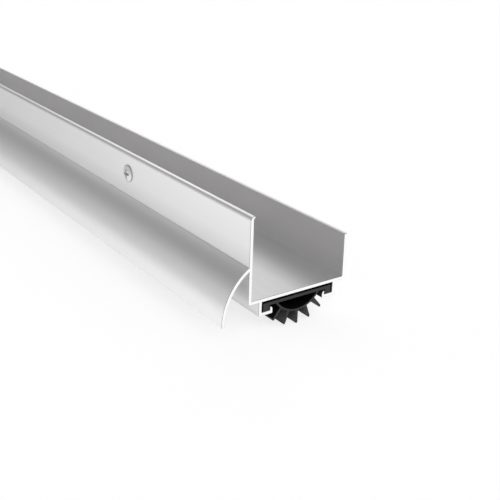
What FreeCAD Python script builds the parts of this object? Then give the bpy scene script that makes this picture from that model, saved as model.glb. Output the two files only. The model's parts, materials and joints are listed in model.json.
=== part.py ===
import FreeCAD, Part
import math
import os

# Door shoe with a drip cap: an aluminium extrusion, a finned seal and four screws.
# Millimetres. X runs along the door, -Y is the weather side, Z is up, and the origin is
# the centre of the floor's upper face, where the bottom edge of the door sits.

# The bar as a whole
length = 914.4             # for a 36 inch door leaf
door_thickness = 44.45     # the 1 3/4 inch leaf that the channel takes
gauge = 1.45               # thickness of the floor, the walls, the legs and the drip cap
end_break = 0.12           # chamfer left by deburring the sawn ends
root_round = 0.15          # radius of inside corners
edge_round = 0.5           # radius of outside corners

# Front wall, with its top edge rolled in towards the door
front_height = 33.9        # top of the wall above the floor's upper face
roll_radius = 1.75         # outside radius of the rolled edge
nose_reach = 0.6           # how far the rolled edge overhangs the wall's inner face
nose_thickness = 0.9

# Back wall, which leans in to grip the leaf
back_height = 18.35
back_lean = 1.3            # degrees
back_top_round = 0.7       # lead-in radius on the wall's inner top edge

# Drip cap: one arc from the front wall, vertical at its lip
drip_radius = 25.1         # outside radius
drip_reach = 11.8          # from the wall's outer face to the lip's outer face
drip_drop = 7.7            # lip's lower edge, below the floor's upper face

# Hooked legs under the floor that hold the seal
groove_width = 34.65       # between the legs
groove_depth = 4.4         # from the floor's lower face to the feet
mouth_width = 24.4         # between the barbs
barb_thickness = 1.15
barb_height = 1.55         # above the foot; its edge towards the bulb is a quarter round

# Screws in the front wall
screw_count = 4
screw_end_margin = 94.6    # from the bar's end to the first screw
screw_drop = 9.6           # from the wall's top edge down to the screws
screw_hole = 4.8           # clearance hole
head_diameter = 7.9
head_height = 1.25
head_rim = 0.3             # straight side of the head, below its dome
neck_diameter = 3.6        # plain neck under the head
neck_past_wall = 0.4       # from the wall's inner face to the start of the thread
thread_diameter = 4.2      # over the thread's crests
screw_length = 12.7        # under the head
point_length = 4.0
recess_span = 5.2          # across the cross recess, at the head's top
recess_foot = 1.8          # across the recess at its bottom
recess_wing = 1.05         # width of a wing at the top
recess_wing_foot = 0.45    # width of a wing at the bottom
recess_depth = 1.7

# Seal
seal_inset = 0.15          # each end of the seal, inside the bar's end
seal_top_gap = 0.95        # above the base, in the groove
seal_side_gap = 0.75       # beside the base, at each leg
seal_barb_gap = 0.35       # between a thick edge and the barb beside it
seal_base = 1.25           # thickness of the base
seal_edge_round = 0.3      # radius of the thick edges' corners
bulb_radius = 12.6         # outside
bulb_wall = 0.78
bulb_drop = 4.95           # depth of the hollow below the base
fin_count = 5
fin_step = 20.0            # degrees between fins
fin_reach = 18.3           # from the bulb's centre to a fin's tip
fin_root = 1.0             # thickness where a fin leaves the bulb
fin_tip = 1.0              # thickness at its rounded tip

# Levels and places that follow from the sizes above
front_inner = -door_thickness / 2
front_outer = front_inner - gauge
nose_round = min(nose_thickness / 2, nose_reach + gauge - roll_radius)
screw_height = front_height - screw_drop
back_inner = door_thickness / 2
floor_low = -gauge
leg_inner = groove_width / 2
foot_top = floor_low - groove_depth
foot_low = foot_top - gauge
barb_inner = mouth_width / 2
barb_outer = barb_inner + barb_thickness
base_top = floor_low - seal_top_gap
base_low = base_top - seal_base
base_edge = leg_inner - seal_side_gap
thick_edge = barb_outer + seal_barb_gap
bulb_inner = bulb_radius - bulb_wall
bulb_centre = base_low - bulb_drop + bulb_inner
end_chamfer = min(end_break, 0.8 * edge_round, 0.8 * nose_round)
tiny = 1e-6


def at(y, z, x=0.0):
    """A point or a direction; without x it lies in the plane of the section."""
    return FreeCAD.Vector(x, y, z)


def rounded_face(corners):
    """Flat face of the section from (y, z, radius) corners, with each corner rounded."""
    points = [at(y, z) for y, z, radius in corners]
    trims = []
    for i, (y, z, radius) in enumerate(corners):
        here = points[i]
        back = (points[i - 1] - here).normalize()
        ahead = (points[(i + 1) % len(points)] - here).normalize()
        half = back.getAngle(ahead) / 2
        setback = radius / math.tan(half)
        start = here + back * setback
        end = here + ahead * setback
        bisector = (back + ahead).normalize()
        middle = here + bisector * (radius / math.sin(half) - radius)
        trims.append((start, middle, end))
    edges = []
    for i, (start, middle, end) in enumerate(trims):
        previous_end = trims[i - 1][2]
        if previous_end.distanceToPoint(start) > tiny:
            edges.append(Part.LineSegment(previous_end, start).toShape())
        if start.distanceToPoint(end) > tiny:
            edges.append(Part.Arc(start, middle, end).toShape())
    return Part.Face(Part.Wire(edges))


def drawn_out(face, run):
    """Section face drawn out along the door, centred on the origin."""
    return face.translated(at(0, 0, -run / 2)).extrude(at(0, 0, run))


def joined(faces, run):
    """One bar whose section is all the faces, which overlap."""
    bars = [drawn_out(face, run) for face in faces]
    return bars[0].multiFuse(bars[1:]).removeSplitter().Solids[0]


def channel_face():
    """U that takes the door: front wall with its rolled edge, floor and leaning back wall."""
    lean = math.tan(math.radians(back_lean))
    across = gauge / math.cos(math.radians(back_lean))
    nose = front_inner + nose_reach
    nose_low = front_height - nose_thickness
    return rounded_face([
        (front_outer, floor_low, edge_round),
        (back_inner + across - floor_low * lean, floor_low, edge_round),
        (back_inner + across - back_height * lean, back_height, edge_round),
        (back_inner - back_height * lean, back_height, back_top_round),
        (back_inner, 0, root_round),
        (front_inner, 0, root_round),
        (front_inner, nose_low, 0),
        (nose, nose_low, nose_round),
        (nose, front_height, nose_round),
        (front_outer, front_height, roll_radius),
    ])


def drip_face():
    """Drip cap: a ring sector whose lip hangs straight down, rooted in the front wall."""
    centre_y = front_outer - drip_reach + drip_radius
    centre_z = edge_round - drip_drop
    root_y = front_outer + gauge / 2
    rings = []
    for radius in (drip_radius, drip_radius - gauge):
        rise = math.sqrt(radius ** 2 - (centre_y - root_y) ** 2)
        top = at(root_y, centre_z + rise)
        turn = math.atan2(rise, centre_y - root_y) / 2
        middle = at(centre_y - radius * math.cos(turn), centre_z + radius * math.sin(turn))
        lip = at(centre_y - radius, centre_z)
        rings.append((top, middle, lip))
    (top_out, middle_out, lip_out), (top_in, middle_in, lip_in) = rings
    low_out = at(lip_out.y + edge_round, -drip_drop)
    low_in = at(lip_in.y - edge_round, -drip_drop)
    inset = edge_round * (1 - math.sqrt(0.5))
    corner_out = at(lip_out.y + inset, inset - drip_drop)
    corner_in = at(lip_in.y - inset, inset - drip_drop)
    return Part.Face(Part.Wire([
        Part.Arc(top_out, middle_out, lip_out).toShape(),
        Part.Arc(lip_out, corner_out, low_out).toShape(),
        Part.LineSegment(low_out, low_in).toShape(),
        Part.Arc(low_in, corner_in, lip_in).toShape(),
        Part.Arc(lip_in, middle_in, top_in).toShape(),
        Part.LineSegment(top_in, top_out).toShape(),
    ]))


def retainer_face(side):
    """Hooked leg on one side of the groove; side is -1 at the front and 1 at the back."""
    corners = [
        (leg_inner, floor_low / 2, 0),
        (leg_inner + gauge, floor_low / 2, 0),
        (leg_inner + gauge, foot_low, edge_round),
        (barb_inner, foot_low, edge_round),
        (barb_inner, foot_top + barb_height, barb_thickness),
        (barb_outer, foot_top + barb_height, 0),
        (barb_outer, foot_top, 0),
        (leg_inner, foot_top, root_round),
    ]
    return rounded_face([(side * y, z, radius) for y, z, radius in corners])


def screw_places():
    """X of each screw, evenly spaced between the two end margins."""
    first = -length / 2 + screw_end_margin
    step = (length - 2 * screw_end_margin) / (screw_count - 1)
    return [first + i * step for i in range(screw_count)]


def channel():
    """The aluminium bar: one extruded section, deburred ends and drilled holes."""
    bar = joined([channel_face(), drip_face(), retainer_face(-1), retainer_face(1)], length)
    end_edges = [edge for edge in bar.Edges if edge.BoundBox.XLength < tiny]
    bar = bar.makeChamfer(end_chamfer, end_edges)
    for x in screw_places():
        start = at(front_outer - gauge / 2, screw_height, x)
        bar = bar.cut(Part.makeCylinder(screw_hole / 2, 2 * gauge, start, at(1, 0)))
    return bar


def thick_edge_face(side):
    """Edge of the seal that rides on a foot of the retainer, behind its barb."""
    corners = [
        (base_edge, base_top, seal_edge_round),
        (thick_edge, base_top, 0),
        (thick_edge, foot_top, seal_edge_round),
        (base_edge, foot_top, seal_edge_round),
    ]
    return rounded_face([(side * y, z, radius) for y, z, radius in corners])


def base_face():
    """Flat base of the seal, between the middles of its thick edges."""
    reach = (base_edge + thick_edge) / 2
    corners = [(-reach, base_low), (reach, base_low), (reach, base_top), (-reach, base_top)]
    return rounded_face([(y, z, 0) for y, z in corners])


def circle_below(radius, level):
    """Part of a circle about the bulb's centre that lies below a level."""
    half = math.sqrt(radius ** 2 - (bulb_centre - level) ** 2)
    left, right = at(-half, level), at(half, level)
    arc = Part.Arc(left, at(0, bulb_centre - radius), right)
    return Part.Face(Part.Wire([arc.toShape(), Part.LineSegment(right, left).toShape()]))


def fin_face(angle):
    """One fin, drawn straight down from the bulb's wall and then turned to its angle."""
    root_z = bulb_centre - bulb_radius + bulb_wall / 2
    tip_z = bulb_centre - fin_reach
    round_z = tip_z + fin_tip / 2
    root_left, root_right = at(-fin_root / 2, root_z), at(fin_root / 2, root_z)
    tip_left, tip_right = at(-fin_tip / 2, round_z), at(fin_tip / 2, round_z)
    fin = Part.Face(Part.Wire([
        Part.LineSegment(root_right, root_left).toShape(),
        Part.LineSegment(root_left, tip_left).toShape(),
        Part.Arc(tip_left, at(0, tip_z), tip_right).toShape(),
        Part.LineSegment(tip_right, root_right).toShape(),
    ]))
    fin.rotate(at(0, bulb_centre), at(0, 0, 1), angle)
    return fin


def seal():
    """The seal: base, thick edges, hollow bulb and a fan of fins, in one extruded section."""
    middle = (fin_count - 1) / 2
    fins = [fin_face((i - middle) * fin_step) for i in range(fin_count)]
    bulb = circle_below(bulb_radius, (base_top + base_low) / 2)
    run = length - 2 * seal_inset
    bar = joined([base_face(), thick_edge_face(-1), thick_edge_face(1), bulb] + fins, run)
    hollow = drawn_out(circle_below(bulb_inner, base_low), run)
    return bar.cut(hollow)


def recess_wing_pair(turn):
    """Two opposite wings of the cross recess, tapering from the head's top to its bottom."""
    sections = []
    levels = ((-head_height, recess_span, recess_wing),
              (-head_height + recess_depth, recess_foot, recess_wing_foot))
    for y, span, width in levels:
        corners = [at(y, -width / 2, -span / 2), at(y, -width / 2, span / 2),
                   at(y, width / 2, span / 2), at(y, width / 2, -span / 2)]
        sections.append(Part.makePolygon(corners + corners[:1]))
    wings = Part.makeLoft(sections, True, True)
    wings.rotate(at(0, 0), at(1, 0), turn)
    return wings


def screw(x):
    """Pan-head screw driven through the front wall, its head against the outer face."""
    rim = head_diameter / 2
    neck = neck_diameter / 2
    thread = thread_diameter / 2
    thread_start = gauge + neck_past_wall
    thread_end = screw_length - point_length
    dome = head_height - head_rim
    dome_radius = (rim ** 2 + dome ** 2) / (2 * dome)
    half_turn = math.asin(rim / dome_radius) / 2
    top = at(-head_height, 0)
    dip = dome_radius * (1 - math.cos(half_turn))
    on_dome = at(dip - head_height, dome_radius * math.sin(half_turn))
    corners = [at(-head_rim, rim), at(0, rim), at(0, neck), at(thread_start, neck),
               at(thread_start, thread), at(thread_end, thread), at(screw_length, 0), top]
    edges = [Part.Arc(top, on_dome, corners[0]).toShape()]
    edges += [Part.LineSegment(a, b).toShape() for a, b in zip(corners, corners[1:])]
    half_profile = Part.Face(Part.Wire(edges))
    body = half_profile.revolve(at(0, 0), at(1, 0), 360)
    body = body.cut(recess_wing_pair(0)).cut(recess_wing_pair(90))
    return body.translated(at(front_outer, screw_height, x))


def fixing_screws():
    """All the screws as separate solids."""
    return Part.makeCompound([screw(x) for x in screw_places()])


def write(node, shape):
    """One STEP file for one named node."""
    shape.exportStep("parts/" + node + ".step")
    print(node, "solids", len(shape.Solids), "volume", round(shape.Volume, 1), "valid", shape.isValid())


os.makedirs("parts", exist_ok=True)
write("channel", channel())
write("seal", seal())
write("fixing_screws", fixing_screws())
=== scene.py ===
import json
import math
from collections import namedtuple

import bmesh
import bpy
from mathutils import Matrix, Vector


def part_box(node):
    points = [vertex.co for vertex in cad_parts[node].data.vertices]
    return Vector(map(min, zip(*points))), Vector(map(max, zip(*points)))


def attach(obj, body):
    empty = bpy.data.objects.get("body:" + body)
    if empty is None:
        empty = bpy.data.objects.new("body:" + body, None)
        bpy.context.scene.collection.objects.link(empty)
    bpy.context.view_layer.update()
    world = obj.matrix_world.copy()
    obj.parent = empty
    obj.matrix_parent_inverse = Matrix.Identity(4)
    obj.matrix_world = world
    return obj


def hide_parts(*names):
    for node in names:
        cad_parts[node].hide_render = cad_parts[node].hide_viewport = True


# Door shoe: satin aluminium bar, black finned seal and zinc-plated screws.
# Metres, in the frame's axes: X along the door, -Y the weather side, Z up.

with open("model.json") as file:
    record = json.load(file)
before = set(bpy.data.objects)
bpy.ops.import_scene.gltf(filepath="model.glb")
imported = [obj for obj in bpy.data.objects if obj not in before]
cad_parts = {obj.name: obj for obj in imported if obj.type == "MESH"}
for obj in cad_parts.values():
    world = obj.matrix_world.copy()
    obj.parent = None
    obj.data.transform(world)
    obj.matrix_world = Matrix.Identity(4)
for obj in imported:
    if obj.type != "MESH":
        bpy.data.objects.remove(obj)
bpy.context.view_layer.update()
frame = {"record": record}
bar_low, bar_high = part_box("channel")
strip_low, strip_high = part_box("seal")
screws_low, screws_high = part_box("fixing_screws")
mounts = {mount["name"]: mount for mount in frame["record"]["mounts"]}

# Levels and places that the frame gives
bar_end = bar_high.x
wall_top = bar_high.z
lip_outer = bar_low.y
drip_drop = -bar_low.z
strip_end = strip_high.x
strip_edge = strip_high.y
fin_low = strip_low.z
front_inner = mounts["door_face"]["pos_m"][1]
back_inner = -front_inner
head_top = screws_low.y
screw_tip = screws_high.y
screw_level = (screws_low.z + screws_high.z) / 2
head_radius = (screws_high.z - screws_low.z) / 2
screw_places = [mount["pos_m"][0] for mount in mounts.values() if mount["kind"] == "pin"]

# Aluminium bar
gauge = 0.00145
end_break = 0.00012
root_round = 0.00015
edge_round = 0.0005
roll_radius = 0.00175
nose_reach = 0.0006
nose_thickness = 0.0009
nose_round = nose_reach + gauge - roll_radius
back_height = 0.01835
back_lean = math.radians(1.3)
back_top_round = 0.0007
drip_radius = 0.0251
groove_depth = 0.0044
leg_inner = 0.017325
barb_inner = 0.0122
barb_thickness = 0.00115
barb_height = 0.00155
screw_hole = 0.0048
front_outer = front_inner - gauge
floor_low = -gauge
foot_top = floor_low - groove_depth
foot_low = foot_top - gauge
barb_outer = barb_inner + barb_thickness
drip_centre = (lip_outer + drip_radius, edge_round - drip_drop)
drip_root = drip_centre[1] + math.sqrt(drip_radius ** 2 - (drip_centre[0] - front_outer) ** 2)

# Seal
seal_top_gap = 0.00095
seal_barb_gap = 0.00035
seal_base = 0.00125
seal_edge_round = 0.0003
bulb_radius = 0.0126
bulb_wall = 0.00078
bulb_drop = 0.00495
fin_angles = [math.radians(angle) for angle in (-40, -20, 0, 20, 40)]
fin_reach = 0.0183
fin_root = 0.001
fin_tip = 0.001
base_top = floor_low - seal_top_gap
base_low = base_top - seal_base
thick_edge = barb_outer + seal_barb_gap
bulb_inner = bulb_radius - bulb_wall
bulb_centre = base_low - bulb_drop + bulb_inner

# Screws, each along its own +Y axis, whose zero is the wall's outer face. The crest's share is half
# its width at the core, in pitches
head_rim = 0.0003
rim_break = head_rim * 0.2
seat_radius = head_radius * 0.98
neck_radius = 0.0018
neck_length = gauge + 0.0004
neck_shoulder = neck_length * 0.9
crest_radius = 0.0021
core_radius = 0.00152
thread_pitch = 0.00141
crest_share = 0.34
point_length = 0.004
point_radius = 0.00008
dome_top = head_top - front_outer
dome_height = -dome_top - head_rim
dome_radius = (head_radius ** 2 + dome_height ** 2) / (2 * dome_height)
screw_length = screw_tip - front_outer

# Cross recess: its depth, a wing's reach and half thickness at the dome's top and at the foot, the
# corners between wings in half thicknesses, and how far above the head its punch starts, in depths
recess_depth = 0.0017
recess_top = Vector((0.0026, 0.000525))
recess_foot = Vector((0.0009, 0.000225))
recess_flare = 1.25
punch_above = 0.3

# Fineness of the meshes, and the angles in degrees past which their edges stay sharp
corner_steps = 8
arc_steps = 48
bulb_steps = 10
ring_steps = 48
pitch_steps = 12
sharp_angle = 28
screw_sharp_angle = 35
same_place = 1e-7

# How near a face lies to a surface that it counts as on
touch = 0.0001

# Least share of a normal that lies along the way it faces, and along X on a cut end and on the break
# of its edge
facing = 0.5
end_facing = 0.9
break_facing = 0.3

# Noises of the finishes, with their scales along X, Y and Z for each metre
Noise = namedtuple("Noise", "scales detail roughness")
fine_lines = Noise((2.0, 2600.0, 2600.0), 4.0, 0.6)
wide_bands = Noise((0.8, 160.0, 160.0), 2.0, 0.5)
slow_cloud = Noise((14.0, 60.0, 60.0), 3.0, 0.5)
saw_marks = Noise((900.0, 3200.0, 260.0), 3.0, 0.6)
rubber_grain = Noise((1800.0, 2600.0, 2600.0), 3.0, 0.5)
rubber_lines = Noise((3.0, 1500.0, 1500.0), 2.0, 0.5)
plate_mottle = Noise((1400.0, 1400.0, 1400.0), 2.0, 0.5)
noise_middle = (0.3, 0.7)

# Aluminium's finish, where a colour with one level is a grey. The painted shade in the corner reaches up
# and down the wall's outer face from the drip cap's root
mill_colours = ((0.886, 0.878, 0.880), (0.926, 0.918, 0.920))
mill_roughness = (0.35, 0.39)
line_roughness = (-0.03, 0.03)
line_strength = 0.12
line_height = 0.00003
sawn_colours = (0.95, 0.99)
# The edge break's dark grey is painted shade along the edges of the sawn ends
edge_break_shade = 0.35
corner_shade_colour = 0.75
corner_shade_reach = 0.014
corner_skin = 0.0003

# Rubber's finish, with a span to either side of its roughness
rubber_cut_colours = (0.018, 0.026)
rubber_roughness_span = 0.07
grain_strength = 0.15
grain_height = 0.00004

# Zinc plate's finish, with such a span too, and the radii between which a head's rim turns dull and
# darker with painted shade
plate_roughness_span = 0.04
rim_shade_colour = 0.66
rim_roughness = 0.6
rim_radii = (head_radius * 0.84, head_radius * 0.97)

# Camera, fitted to the photograph
camera_place = (bar_end + 0.22543, -0.18617, 0.13743)
camera_turn = (67.3056, -1.6740, 54.9182)
camera_lens = 59.959
sensor_width = 36.0
nearest_seen = 0.01
farthest_seen = 50.0

# Light of the surroundings: a general level, and soft panels that add to it. Angles are in degrees,
# azimuth from +X towards +Y, and each panel's light is the one at its middle
Panel = namedtuple("Panel", "azimuth half_width elevation half_height light")
general_light = 0.28
panels = {
    "back softbox": Panel(161, 45, 32.5, 17.5, 1.44),
    "high back light": Panel(150, 72, 57, 22.5, 0.38),
    "front softbox": Panel(228, 40, 10, 20, 0.5),
    "fill beside the camera": Panel(330, 75, 45, 35, 0.9),
    "fill past the near end": Panel(20, 75, 40, 35, 0.9),
    "dark card behind": Panel(135, 42, 10, 16, -0.28),
    "dark ceiling in front": Panel(240, 80, 62, 26, -0.28),
}

# Floor, lit and seen by the camera
floor_half = 4.0
floor_lit_colour = 0.95
floor_seen_colour = 0.4
floor_white = 0.78

# Light that the floor adds in reflections: it rises along X between two places, is less in front of
# the bar, and leaves out the strip in the bar's own shade
mirrored_along = (-0.05, 0.5)
mirrored_light = (0.21, 0.57)
front_across = (-0.20, -0.06)
front_share = (0.7, 1.0)
shade_across = (0.021, 0.031)
shade_fade = 0.01


def corner_points(before, corner, after, radius):
    """Points along the arc that rounds a corner, or the corner itself where it is sharp."""
    if radius == 0:
        return [corner]
    back = (before - corner).normalized()
    ahead = (after - corner).normalized()
    half = back.angle(ahead) / 2
    centre = corner + (back + ahead).normalized() * (radius / math.sin(half))
    start = corner + back * (radius / math.tan(half)) - centre
    turn = math.pi - 2 * half
    if back.x * ahead.y - back.y * ahead.x > 0:
        turn = -turn
    across = Vector((-start.y, start.x))
    points = []
    for step in range(corner_steps + 1):
        angle = turn * step / corner_steps
        points.append(centre + start * math.cos(angle) + across * math.sin(angle))
    return points


def outline(corners):
    """Closed outline in the plane of the section from (y, z, radius) corners."""
    places = [Vector((y, z)) for y, z, radius in corners]
    points = []
    for i, (y, z, radius) in enumerate(corners):
        after = places[(i + 1) % len(places)]
        for point in corner_points(places[i - 1], places[i], after, radius):
            if not points or (point - points[-1]).length > same_place:
                points.append(point)
    if (points[0] - points[-1]).length < same_place:
        points.pop()
    return points


def arc(centre, radius, start, end, steps=arc_steps):
    """Sharp corners along an arc; angles are counted from straight down towards +Y."""
    found = []
    for step in range(steps + 1):
        angle = start + (end - start) * step / steps
        found.append((centre[0] + radius * math.sin(angle), centre[1] - radius * math.cos(angle), 0))
    return found


def drawn_in(points, depth):
    """The outline moved towards its inside, for the chamfer of a sawn end."""
    moved = []
    for i, here in enumerate(points):
        before = (here - points[i - 1]).normalized()
        after = (points[(i + 1) % len(points)] - here).normalized()
        first = Vector((-before.y, before.x))
        second = Vector((-after.y, after.x))
        moved.append(here + (first + second) * (depth / (1 + first.dot(second))))
    return moved


def skin(mesh, rings):
    """Faces between each ring of vertices and the next."""
    for ring, following in zip(rings, rings[1:]):
        for i in range(len(ring)):
            mesh.faces.new((ring[i - 1], ring[i], following[i], following[i - 1]))


def plug(mesh, rings):
    """Closed solid from one ring of vertices to another."""
    skin(mesh, rings)
    for ring in rings:
        mesh.faces.new(ring)


def as_object(name, mesh):
    """Object from a bmesh, linked to the scene."""
    data = bpy.data.meshes.new(name)
    mesh.to_mesh(data)
    mesh.free()
    made = bpy.data.objects.new(name, data)
    bpy.context.scene.collection.objects.link(made)
    return made


def as_solid(name, mesh):
    """Object from a closed bmesh, with its faces turned outwards."""
    bmesh.ops.recalc_face_normals(mesh, faces=mesh.faces[:])
    return as_object(name, mesh)


def drawn_out(name, loops, end, chamfer=0.0):
    """Mesh object of a section drawn out along X, both ends closed; the first loop is the outer one."""
    mesh = bmesh.new()
    rims = ([], [])
    for points in loops:
        stations = [(-end, points), (end, points)]
        if chamfer:
            inner = drawn_in(points, chamfer)
            stations = [(-end, inner), (chamfer - end, points), (end - chamfer, points), (end, inner)]
        rings = [[mesh.verts.new((x, p.x, p.y)) for p in section] for x, section in stations]
        skin(mesh, rings)
        for rim, ring in zip(rims, (rings[0], rings[-1])):
            rim += [mesh.edges.get((ring[i - 1], ring[i])) for i in range(len(ring))]
    for rim in rims:
        bmesh.ops.triangle_fill(mesh, use_beauty=True, use_dissolve=False, edges=rim)
    return as_solid(name, mesh)


def smooth(piece, limit=sharp_angle):
    """Smooth shading, with edges of more than a number of degrees kept sharp and flat faces kept flat."""
    mesh = bmesh.new()
    mesh.from_mesh(piece.data)
    for face in mesh.faces:
        face.smooth = True
    for edge in mesh.edges:
        edge.smooth = len(edge.link_faces) == 2 and edge.calc_face_angle(0) < math.radians(limit)
    mesh.to_mesh(piece.data)
    mesh.free()
    weighted = piece.modifiers.new("weighted", "WEIGHTED_NORMAL")
    weighted.keep_sharp = True


def cut_with(piece, cutter):
    """Takes the cutter's solid out of the piece and deletes the cutter."""
    cut = piece.modifiers.new("cut", "BOOLEAN")
    cut.operation = "DIFFERENCE"
    cut.solver = "EXACT"
    cut.object = cutter
    bpy.context.view_layer.update()
    graph = bpy.context.evaluated_depsgraph_get()
    mesh = bpy.data.meshes.new_from_object(piece.evaluated_get(graph))
    piece.modifiers.remove(cut)
    piece.data = mesh
    bpy.data.objects.remove(cutter)


def in_triangles(piece):
    """Splits faces of more than four corners, so that each copy of the piece is split the same way."""
    mesh = bmesh.new()
    mesh.from_mesh(piece.data)
    bmesh.ops.triangulate(mesh, faces=[face for face in mesh.faces if len(face.verts) > 4])
    mesh.to_mesh(piece.data)
    mesh.free()


def bar_outline():
    """Whole section of the aluminium bar as one closed outline, counter-clockwise."""
    lean = math.tan(back_lean)
    across = gauge / math.cos(back_lean)
    leg = [
        (leg_inner, floor_low, 0),
        (leg_inner, foot_top, root_round),
        (barb_outer, foot_top, 0),
        (barb_outer, foot_top + barb_height, 0),
        (barb_inner, foot_top + barb_height, barb_thickness),
        (barb_inner, foot_low, edge_round),
        (leg_inner + gauge, foot_low, edge_round),
        (leg_inner + gauge, floor_low, 0),
    ]
    front_leg = [(-y, z, radius) for y, z, radius in reversed(leg)]
    walls = [
        (back_inner + across - floor_low * lean, floor_low, edge_round),
        (back_inner + across - back_height * lean, back_height, edge_round),
        (back_inner - back_height * lean, back_height, back_top_round),
        (back_inner, 0, root_round),
        (front_inner, 0, root_round),
        (front_inner, wall_top - nose_thickness, 0),
        (front_inner + nose_reach, wall_top - nose_thickness, nose_round),
        (front_inner + nose_reach, wall_top, nose_round),
        (front_outer, wall_top, roll_radius),
    ]
    lip = -math.pi / 2
    inner_radius = drip_radius - gauge
    root_out = -math.pi + math.asin((drip_centre[0] - front_outer) / drip_radius)
    root_in = -math.pi + math.asin((drip_centre[0] - front_outer) / inner_radius)
    drip = arc(drip_centre, drip_radius, root_out, lip)
    drip += [(lip_outer, -drip_drop, edge_round), (lip_outer + gauge, -drip_drop, edge_round)]
    drip += arc(drip_centre, inner_radius, lip, root_in)
    return outline([(front_outer, floor_low, edge_round)] + front_leg + leg + walls + drip)


def bar():
    """The aluminium bar with its screw holes."""
    piece = drawn_out("door_shoe_bar", [bar_outline()], bar_end, end_break)
    cutter = bmesh.new()
    for x in screw_places:
        rings = []
        for y in (front_outer - gauge, front_inner + gauge):
            ring = []
            for step in range(ring_steps):
                angle = 2 * math.pi * step / ring_steps
                along = x + screw_hole / 2 * math.cos(angle)
                up = screw_level + screw_hole / 2 * math.sin(angle)
                ring.append(cutter.verts.new((along, y, up)))
            rings.append(ring)
        plug(cutter, rings)
    cut_with(piece, as_solid("hole_cutter", cutter))
    smooth(piece)
    return piece


def fin_corners(turn):
    """Corners of one fin, from its root on one side round its tip to its root on the other."""
    root = math.sqrt(bulb_radius ** 2 - (fin_root / 2) ** 2)
    fin = [(-fin_root / 2, -root)]
    for step in range(corner_steps + 1):
        angle = math.pi * (step / corner_steps - 0.5)
        fin.append((fin_tip / 2 * math.sin(angle), fin_tip / 2 - fin_reach - fin_tip / 2 * math.cos(angle)))
    fin.append((fin_root / 2, -root))
    corners = []
    for y, z in fin:
        turned_y = y * math.cos(turn) - z * math.sin(turn)
        turned_z = y * math.sin(turn) + z * math.cos(turn)
        corners.append((turned_y, bulb_centre + turned_z, 0))
    return corners


def seal_outline():
    """Outside of the seal's section: base, thick edges, bulb and fins, counter-clockwise."""
    centre = (0, bulb_centre)
    spread = math.acos((bulb_centre - base_low) / bulb_radius)
    foot = math.asin(fin_root / 2 / bulb_radius)
    corners = [
        (strip_edge, base_top, seal_edge_round),
        (-strip_edge, base_top, seal_edge_round),
        (-strip_edge, foot_top, seal_edge_round),
        (-thick_edge, foot_top, seal_edge_round),
        (-thick_edge, base_low, 0),
    ]
    reached = -spread
    for turn in fin_angles:
        corners += arc(centre, bulb_radius, reached, turn - foot, bulb_steps)[:-1]
        corners += fin_corners(turn)
        reached = turn + foot
    corners += arc(centre, bulb_radius, reached, spread, bulb_steps)[1:]
    corners += [
        (thick_edge, base_low, 0),
        (thick_edge, foot_top, seal_edge_round),
        (strip_edge, foot_top, seal_edge_round),
    ]
    return outline(corners)


def hollow_outline():
    """Inside of the bulb, clockwise."""
    spread = math.acos((bulb_centre - base_low) / bulb_inner)
    return outline(arc((0, bulb_centre), bulb_inner, spread, -spread))


def strip():
    """The seal, with its hollow open at both ends."""
    piece = drawn_out("door_shoe_seal", [seal_outline(), hollow_outline()], strip_end)
    smooth(piece)
    return piece


def thread_radius(y, angle):
    """Radius of the threaded part: a sharp crest that winds round a core, and thins out to the point."""
    taper = max(0.0, (y - (screw_length - point_length)) / point_length)
    phase = (y / thread_pitch - angle / (2 * math.pi)) % 1
    crest = max(0.0, 1 - abs(phase - 0.5) / crest_share)
    run_in = min(1.0, (y - neck_length) / thread_pitch)
    radius = core_radius + (crest_radius - core_radius) * crest * run_in
    return radius * (1 - taper) + point_radius * taper


def plain_rings():
    """Plain rings of the screw from beside the dome's top to the start of its thread, as (y, radius)."""
    widest = math.asin(head_radius / dome_radius)
    rings = []
    for step in range(1, corner_steps + 1):
        angle = widest * step / corner_steps
        rings.append((dome_top + dome_radius * (1 - math.cos(angle)), dome_radius * math.sin(angle)))
    rings += [(-rim_break, head_radius), (0, seat_radius), (0, neck_radius)]
    rings += [(neck_shoulder, neck_radius), (neck_length, core_radius)]
    return rings


def screw_mesh():
    """One screw about the origin, its axis along +Y and its head against the plane y = 0."""
    mesh = bmesh.new()
    threaded = screw_length - neck_length
    steps = round(threaded / thread_pitch * pitch_steps)
    angles = [2 * math.pi * (i + 0.5) / ring_steps for i in range(ring_steps)]
    rows = [[(y, radius)] * ring_steps for y, radius in plain_rings()]
    for step in range(1, steps + 1):
        y = neck_length + threaded * step / steps
        rows.append([(y, thread_radius(y, angle)) for angle in angles])
    rings = []
    for row in rows:
        rings.append([mesh.verts.new((radius * math.cos(angle), y, radius * math.sin(angle)))
                      for (y, radius), angle in zip(row, angles)])
    skin(mesh, rings)
    top = mesh.verts.new((0, dome_top, 0))
    for i in range(ring_steps):
        mesh.faces.new((rings[0][i - 1], top, rings[0][i]))
    mesh.faces.new(rings[-1])
    return as_solid("screw_blank", mesh)


def recess_punch():
    """Cross-shaped punch whose wings narrow towards the bottom; it starts a little above the head."""
    mesh = bmesh.new()
    rings = []
    for depth in (-punch_above, 1.0):
        reach, half = recess_top.lerp(recess_foot, depth)
        flare = half * recess_flare
        ring = []
        for turn in range(4):
            for x, z in ((reach, -half), (reach, half), (flare, flare)):
                for _ in range(turn):
                    x, z = -z, x
                ring.append(mesh.verts.new((x, dome_top + recess_depth * depth, z)))
        rings.append(ring)
    plug(mesh, rings)
    return as_solid("recess_punch", mesh)


def screws():
    """The screws, each in its hole."""
    blank = screw_mesh()
    cut_with(blank, recess_punch())
    in_triangles(blank)
    smooth(blank, screw_sharp_angle)
    made = []
    for number, x in enumerate(screw_places, 1):
        screw = blank.copy()
        screw.name = f"fixing_screw_{number}"
        screw.location = (x, front_outer, screw_level)
        bpy.context.scene.collection.objects.link(screw)
        made.append(screw)
    bpy.data.objects.remove(blank)
    return made


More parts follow.
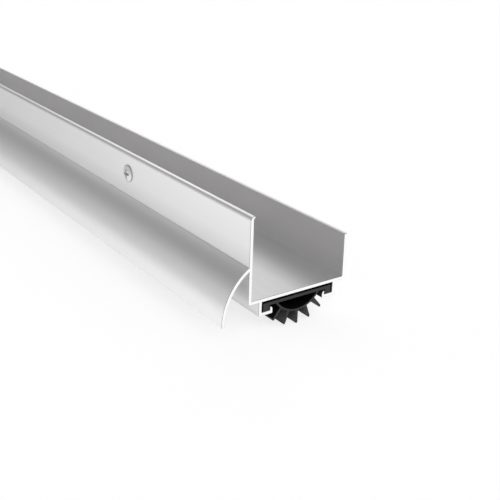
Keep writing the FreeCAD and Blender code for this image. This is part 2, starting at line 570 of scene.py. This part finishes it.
class Nodes:
    """Short calls for the nodes of a material or of the surroundings."""

    def __init__(self, owner):
        owner.use_nodes = True
        self.tree = owner.node_tree

    def add(self, kind, inputs=(), **settings):
        """A node of one kind, with its settings and its inputs as values or links."""
        node = self.tree.nodes.new("ShaderNode" + kind)
        for name, value in settings.items():
            setattr(node, name, value)
        for name, value in dict(inputs).items():
            self.feed(node.inputs[name], value)
        return node

    def feed(self, socket, value):
        """Sets a socket, or links it where the value is another node's output."""
        if isinstance(value, bpy.types.NodeSocket):
            self.tree.links.new(value, socket)
        else:
            socket.default_value = value

    def math(self, operation, *values):
        """Result of a sum on values or links."""
        return self.add("Math", dict(enumerate(values)), operation=operation).outputs[0]

    def distance(self, value, level):
        """How far a value is from a level."""
        return self.math("ABSOLUTE", self.math("SUBTRACT", value, level))

    def parts(self, kind, output):
        """X, Y and Z of a place or a direction that a node of one kind gives."""
        return self.add("SeparateXYZ", {"Vector": self.add(kind).outputs[output]}).outputs

    def fade(self, value, low, high, at_low, at_high):
        """Smooth step from one level to another while a value goes from low to high."""
        step = self.add("MapRange", {"Value": value, "From Min": low, "From Max": high,
                                     "To Min": at_low, "To Max": at_high},
                        interpolation_type="SMOOTHSTEP")
        return step.outputs["Result"]

    def noise(self, kind):
        """Noise of one kind, in the object's own metres."""
        place = self.add("TexCoord").outputs["Object"]
        scaled = self.add("Mapping", {"Vector": place, "Scale": kind.scales}).outputs["Vector"]
        noise = self.add("TexNoise", {"Vector": scaled, "Scale": 1.0, "Detail": kind.detail,
                                      "Roughness": kind.roughness})
        return noise.outputs["Fac"]

    def spread(self, noise, low, high):
        """Brings a noise's middle range to low and high."""
        middle_low, middle_high = noise_middle
        ranged = self.add("MapRange", {"Value": noise, "From Min": middle_low, "From Max": middle_high,
                                       "To Min": low, "To Max": high})
        return ranged.outputs["Result"]

    def colour_between(self, factor, first, second):
        """Colour that runs from the first to the second; each is a link, a colour or a grey's level."""
        mix = self.add("Mix", {"Factor": factor}, data_type="RGBA")
        for name, value in (("A", first), ("B", second)):
            if isinstance(value, float):
                value = (value, value, value)
            if isinstance(value, tuple):
                value = (*value, 1)
            self.feed(mix.inputs[name], value)
        return mix.outputs["Result"]

    def mottled(self, noise, first, second):
        """Colour that a noise varies between two."""
        return self.colour_between(self.spread(noise, 0, 1), first, second)

    def end_masks(self):
        """Two masks by how far a face looks along X: the cut ends, and the break of their edges."""
        along = self.math("ABSOLUTE", self.parts("NewGeometry", "True Normal")["X"])
        end = self.math("GREATER_THAN", along, end_facing)
        turned = self.math("GREATER_THAN", along, break_facing)
        return end, self.math("SUBTRACT", turned, end)

    def bump(self, height, strength, distance):
        """Normal of a surface that a height roughens."""
        bump = self.add("Bump", {"Height": height, "Strength": strength, "Distance": distance})
        return bump.outputs["Normal"]


def surface(name):
    """A material with its nodes and its shader."""
    material = bpy.data.materials.new(name)
    nodes = Nodes(material)
    return material, nodes, material.node_tree.nodes["Principled BSDF"]


def aluminium():
    """Mill-finish aluminium: fine lines along the extrusion, bright sawn ends, painted shade on the
    break of their edges, and painted shade in the corner where the drip cap springs from the wall."""
    material, nodes, shader = surface("satin_aluminium")
    lines = nodes.noise(fine_lines)
    saw = nodes.noise(saw_marks)
    ends, edge_break = nodes.end_masks()
    place = nodes.parts("TexCoord", "Object")
    on_wall = nodes.math("LESS_THAN", nodes.distance(place["Y"], front_outer), corner_skin)
    near_cap = nodes.fade(nodes.distance(place["Z"], drip_root), 0, corner_shade_reach, 1, 0)
    colour = nodes.mottled(nodes.noise(wide_bands), *mill_colours)
    # Painted shade: the wall's outer face darkens towards the drip cap's root
    colour = nodes.colour_between(nodes.math("MULTIPLY", on_wall, near_cap), colour, corner_shade_colour)
    colour = nodes.colour_between(ends, colour, nodes.mottled(saw, *sawn_colours))
    # Painted shade on the break of the sawn ends' edges
    colour = nodes.colour_between(edge_break, colour, edge_break_shade)
    cloud = nodes.spread(nodes.noise(slow_cloud), *mill_roughness)
    height = nodes.add("Mix", {"Factor": ends, "A": lines, "B": saw}).outputs[0]
    nodes.feed(shader.inputs["Base Color"], colour)
    nodes.feed(shader.inputs["Roughness"], nodes.math("ADD", nodes.spread(lines, *line_roughness), cloud))
    nodes.feed(shader.inputs["Normal"], nodes.bump(height, line_strength, line_height))
    shader.inputs["Metallic"].default_value = 1.0
    return material


def rubber(name, colours, roughness, gloss):
    """Black rubber between two colours, with faint lines along it and a darker cut."""
    material, nodes, shader = surface(name)
    grain = nodes.noise(rubber_grain)
    ends, _ = nodes.end_masks()
    colour = nodes.mottled(nodes.noise(rubber_lines), *colours)
    colour = nodes.colour_between(ends, colour, nodes.mottled(grain, *rubber_cut_colours))
    dullness = nodes.spread(grain, roughness - rubber_roughness_span, roughness + rubber_roughness_span)
    nodes.feed(shader.inputs["Base Color"], colour)
    nodes.feed(shader.inputs["Roughness"], dullness)
    nodes.feed(shader.inputs["Normal"], nodes.bump(grain, grain_strength, grain_height))
    shader.inputs["Specular IOR Level"].default_value = gloss
    return material


def zinc(name, colours, roughness, metallic):
    """Zinc plate between two colours, with a faint mottle and a duller rim to the head, darkened by
    painted shade.
    """
    material, nodes, shader = surface(name)
    mottle = nodes.noise(plate_mottle)
    place = nodes.parts("TexCoord", "Object")
    squares = nodes.math("ADD", nodes.math("POWER", place["X"], 2.0), nodes.math("POWER", place["Z"], 2.0))
    rim = nodes.fade(nodes.math("SQRT", squares), *rim_radii, 0, 1)
    # The rim's darker colour is painted shade on the head's side
    colour = nodes.colour_between(rim, nodes.mottled(mottle, *colours), rim_shade_colour)
    dullness = nodes.spread(mottle, roughness - plate_roughness_span, roughness + plate_roughness_span)
    dullness = nodes.math("MAXIMUM", dullness, nodes.math("MULTIPLY", rim, rim_roughness))
    nodes.feed(shader.inputs["Base Color"], colour)
    nodes.feed(shader.inputs["Roughness"], dullness)
    shader.inputs["Metallic"].default_value = metallic
    return material


def dress(piece, materials, node):
    """Gives a piece its materials, its body and the node that it stands for."""
    piece.data.materials.clear()
    for material in materials:
        piece.data.materials.append(material)
    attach(piece, "root")
    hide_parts(node)


def dull_and_shade_recess(piece):
    """Gives a screw's second material to its recess: the faces that lie under the dome's surface. There it
    is rougher, and darker as painted shade.
    """
    dome_centre = Vector((0, dome_top + dome_radius, 0))
    for face in piece.data.polygons:
        from_axis = math.hypot(face.center.x, face.center.z)
        under = (face.center - dome_centre).length < dome_radius - touch
        if under and (from_axis < recess_foot.x or from_axis < recess_top.x and face.center.y < 0):
            face.material_index = 1


def shelter(piece):
    """Gives the seal's second material, a near-black copy that paints shade, to its sheltered sides: in
    the groove, on the bulb or facing up.
    """
    for face in piece.data.polygons:
        around = [piece.data.vertices[i].co for i in face.vertices]
        on_bulb = all(math.hypot(p.y, p.z - bulb_centre) < bulb_radius + touch for p in around)
        in_groove = all(p.z > foot_top - touch for p in around)
        if abs(face.normal.x) < facing and (on_bulb or in_groove or face.normal.z > facing):
            face.material_index = 1


def floor():
    """Pale floor that shows white and keeps the soft shadow."""
    mesh = bmesh.new()
    corners = [(-1, -1), (1, -1), (1, 1), (-1, 1)]
    mesh.faces.new([mesh.verts.new((x * floor_half, y * floor_half, fin_low)) for x, y in corners])
    plane = as_object("floor", mesh)
    material, nodes, shader = surface("pale_floor")
    path = nodes.add("LightPath").outputs
    place = nodes.parts("NewGeometry", "Position")
    along = nodes.fade(place["X"], *mirrored_along, *mirrored_light)
    in_front = nodes.fade(place["Y"], *front_across, *front_share)
    beside = nodes.fade(nodes.math("ABSOLUTE", place["Y"]), *shade_across, 0, 1)
    beyond = nodes.fade(nodes.math("ABSOLUTE", place["X"]), bar_end - shade_fade, bar_end, 0, 1)
    unshaded = nodes.math("MAXIMUM", beside, beyond)
    mirrored = nodes.math("MULTIPLY", nodes.math("MULTIPLY", along, in_front), unshaded)
    mirrored = nodes.math("MULTIPLY", path["Is Glossy Ray"], mirrored)
    seen = nodes.math("MULTIPLY", path["Is Camera Ray"], floor_white)
    white = nodes.add("Emission", {"Strength": nodes.math("ADD", seen, mirrored)})
    pale = nodes.colour_between(path["Is Camera Ray"], floor_lit_colour, floor_seen_colour)
    nodes.feed(shader.inputs["Base Color"], pale)
    shader.inputs["Roughness"].default_value = 1.0
    shader.inputs["Specular IOR Level"].default_value = 0.0
    both = nodes.add("AddShader", {0: shader.outputs[0], 1: white.outputs[0]}).outputs[0]
    nodes.feed(material.node_tree.nodes["Material Output"].inputs["Surface"], both)
    plane.data.materials.append(material)


def panel_light(nodes, azimuth, elevation, panel):
    """Light that a soft panel adds in a direction, with an even fall to its edges."""
    turned = nodes.math("SUBTRACT", azimuth, math.radians(panel.azimuth))
    aside = nodes.math("ARCCOSINE", nodes.math("COSINE", turned))
    above = nodes.distance(elevation, math.radians(panel.elevation))
    across = nodes.fade(aside, 0, math.radians(panel.half_width), panel.light, 0)
    return nodes.math("MULTIPLY", across, nodes.fade(above, 0, math.radians(panel.half_height), 1, 0))


def surroundings():
    """Studio surroundings: white to the camera, soft grey with a few panels for the light."""
    world = bpy.data.worlds.new("studio")
    nodes = Nodes(world)
    direction = nodes.parts("TexCoord", "Generated")
    azimuth = nodes.math("ARCTAN2", direction["Y"], direction["X"])
    elevation = nodes.math("ARCSINE", direction["Z"])
    light = general_light
    for panel in panels.values():
        light = nodes.math("ADD", light, panel_light(nodes, azimuth, elevation, panel))
    seen = nodes.add("LightPath").outputs["Is Camera Ray"]
    level = nodes.add("Mix", {"Factor": seen, "A": light, "B": 1.0}).outputs[0]
    nodes.feed(world.node_tree.nodes["Background"].inputs["Color"], level)
    bpy.context.scene.world = world


def camera():
    """Camera at the photograph's place."""
    data = bpy.data.cameras.new("camera")
    data.lens = camera_lens
    data.sensor_width = sensor_width
    data.clip_start = nearest_seen
    data.clip_end = farthest_seen
    made = bpy.data.objects.new("camera", data)
    made.location = camera_place
    made.rotation_euler = [math.radians(angle) for angle in camera_turn]
    bpy.context.scene.collection.objects.link(made)
    bpy.context.scene.camera = made


camera()
surroundings()
floor()

dress(bar(), [aluminium()], "channel")
seal = strip()
# Lit and shaded copies of one rubber: the second is painted shade for the seal's sheltered sides
lit_rubber = rubber("black_rubber", colours=(0.070, 0.095), roughness=0.57, gloss=0.5)
painted_shade_rubber = rubber("painted_shade_rubber", colours=(0.003, 0.006), roughness=0.85, gloss=0.1)
dress(seal, [lit_rubber, painted_shade_rubber], "seal")
shelter(seal)
bright_zinc = zinc("zinc_plate", colours=(0.80, 0.88), roughness=0.36, metallic=1.0)
# The recess's zinc is rougher and less metallic, and its darker colour is painted shade in the recess
dull_and_shaded_zinc = zinc("zinc_recess", colours=(0.60, 0.68), roughness=0.7, metallic=0.4)
for screw in screws():
    dress(screw, [bright_zinc, dull_and_shaded_zinc], "fixing_screws")
    dull_and_shade_recess(screw)

bpy.context.scene.view_settings.view_transform = "Standard"
